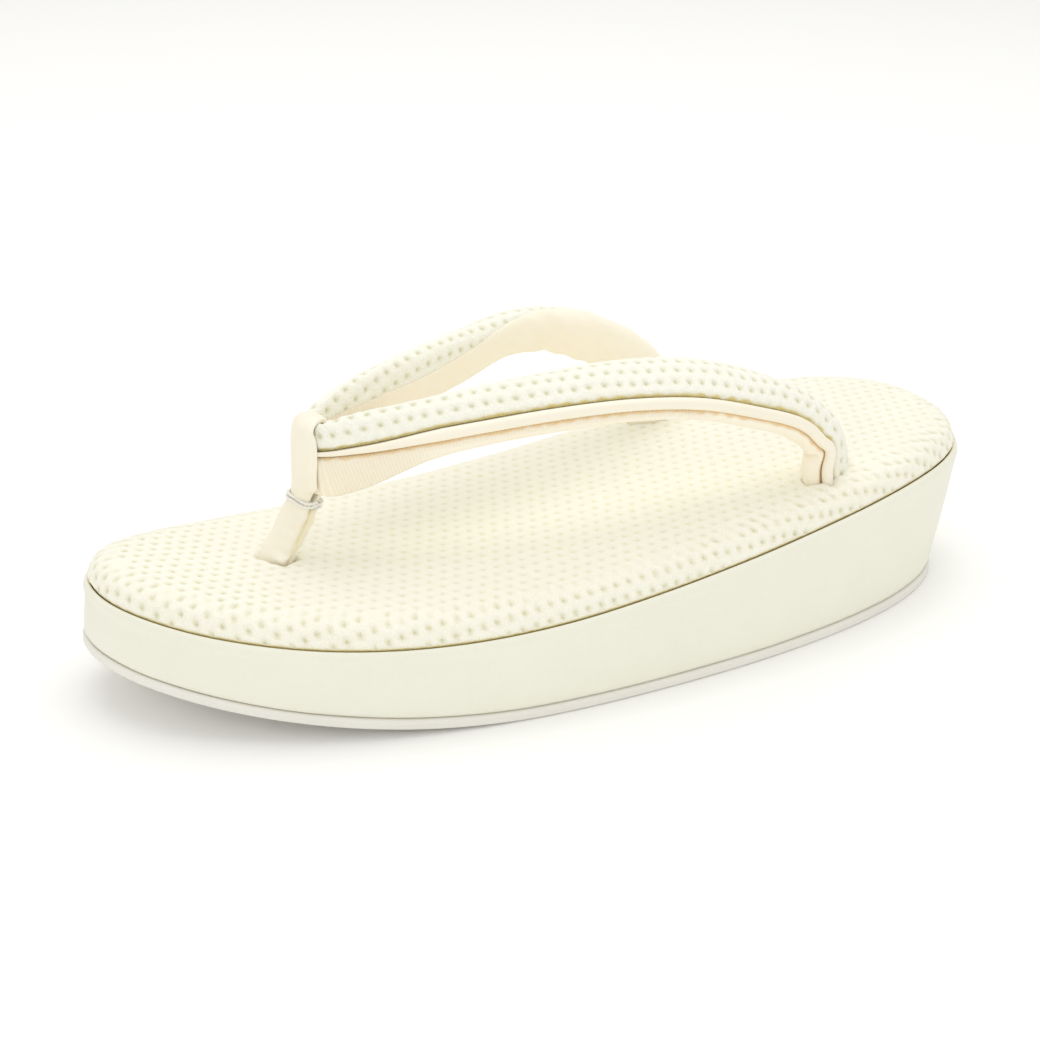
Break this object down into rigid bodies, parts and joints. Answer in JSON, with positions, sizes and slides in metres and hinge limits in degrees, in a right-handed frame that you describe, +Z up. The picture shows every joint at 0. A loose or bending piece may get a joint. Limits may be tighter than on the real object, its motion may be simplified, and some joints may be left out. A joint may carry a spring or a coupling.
{
  "type": "zori sandal",
  "caption": "Left women's zori: oval wedge sole with a leather side wrap, padded canvas footbed, and padded thong straps tied by a front loop",
  "frame": {"origin": "On the plane the sandal stands on, under the middle of its length and width", "axes": "+Y heel end, -Y toe end, +Z up, +X the outer side of a left foot, which faces the camera in the picture"},
  "size_m": [0.0912, 0.2408, 0.0758],
  "materials": {
    "outsole": "thin grey-white rubber tread sheet",
    "core": "closed-cell foam wedge, hidden",
    "wrap_leather": "smooth cream leather with a faint fine grain",
    "canvas": "off-white padded canvas with staggered soft dimples",
    "lining": "peach-cream lining with fine cross ribs",
    "padding": "cotton filling, hidden",
    "trim_leather": "smooth cream leather, slightly glossy",
    "thread": "twisted white thread"
  },
  "bodies": {
    "root": {"outsole": "outsole", "sole_core": "core", "side_wrap": "wrap_leather", "footbed_cover": "canvas", "strap_cover": "canvas", "strap_lining": "lining", "strap_padding": "padding", "piping_outer": "trim_leather", "piping_inner": "trim_leather", "front_loop": "trim_leather", "loop_thread": "thread"}
  },
  "joints": []
}
